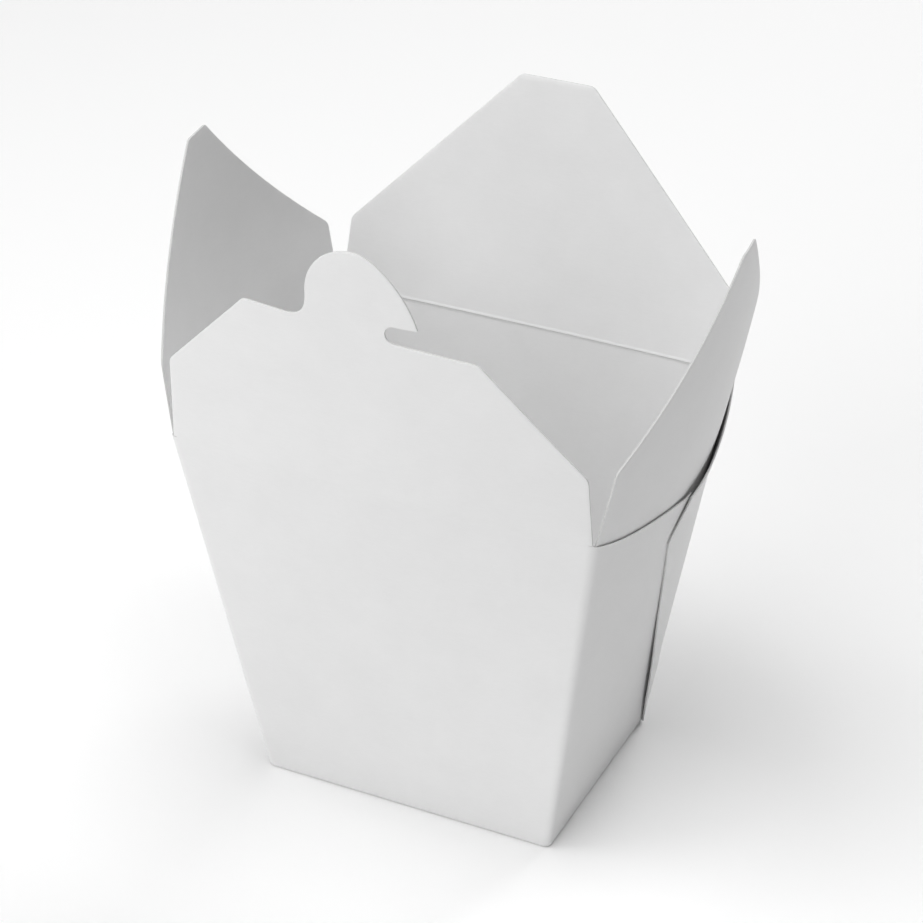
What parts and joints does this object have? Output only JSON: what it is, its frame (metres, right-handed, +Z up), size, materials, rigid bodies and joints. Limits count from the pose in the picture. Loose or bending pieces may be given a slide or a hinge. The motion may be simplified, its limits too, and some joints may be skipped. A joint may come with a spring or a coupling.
{
  "type": "noodle takeaway box",
  "caption": "Open tapered takeaway box of folded white paperboard with rounded folds, side wings, a hook-tab front flap, a tall back flap and pointed side flaps.",
  "frame": {"origin": "middle of the base's underside, on the surface the box stands on", "axes": "+X along the front from its left to its right, +Y from the front with the hook tab to the back, +Z up"},
  "size_m": [0.1446, 0.1099, 0.168],
  "materials": {
    "white_board": "smooth white coated paperboard with a soft satin face"
  },
  "bodies": {
    "box": {"box": "white_board"},
    "front_flap": {"front_flap": "white_board"},
    "back_flap": {"back_flap": "white_board"},
    "left_flap": {"left_flap": "white_board"},
    "right_flap": {"right_flap": "white_board"}
  },
  "joints": [
    {"name": "front_crease", "type": "hinge", "parent": "box", "child": "front_flap", "pos_m": [0, -0.04355, 0.1033], "axis": [-1, 0, 0], "range_deg": [-3, 86.5]},
    {"name": "back_crease", "type": "hinge", "parent": "box", "child": "back_flap", "pos_m": [0, 0.04355, 0.1033], "axis": [1, 0, 0], "range_deg": [-18, 97.5]},
    {"name": "right_crease", "type": "hinge", "parent": "box", "child": "right_flap", "pos_m": [0.05735, 0, 0.1007], "axis": [0, -1, 0], "range_deg": [-45, 107.5]},
    {"name": "left_crease", "type": "hinge", "parent": "box", "child": "left_flap", "pos_m": [-0.05735, 0, 0.1007], "axis": [0, 1, 0], "range_deg": [-35, 109.5]}
  ]
}
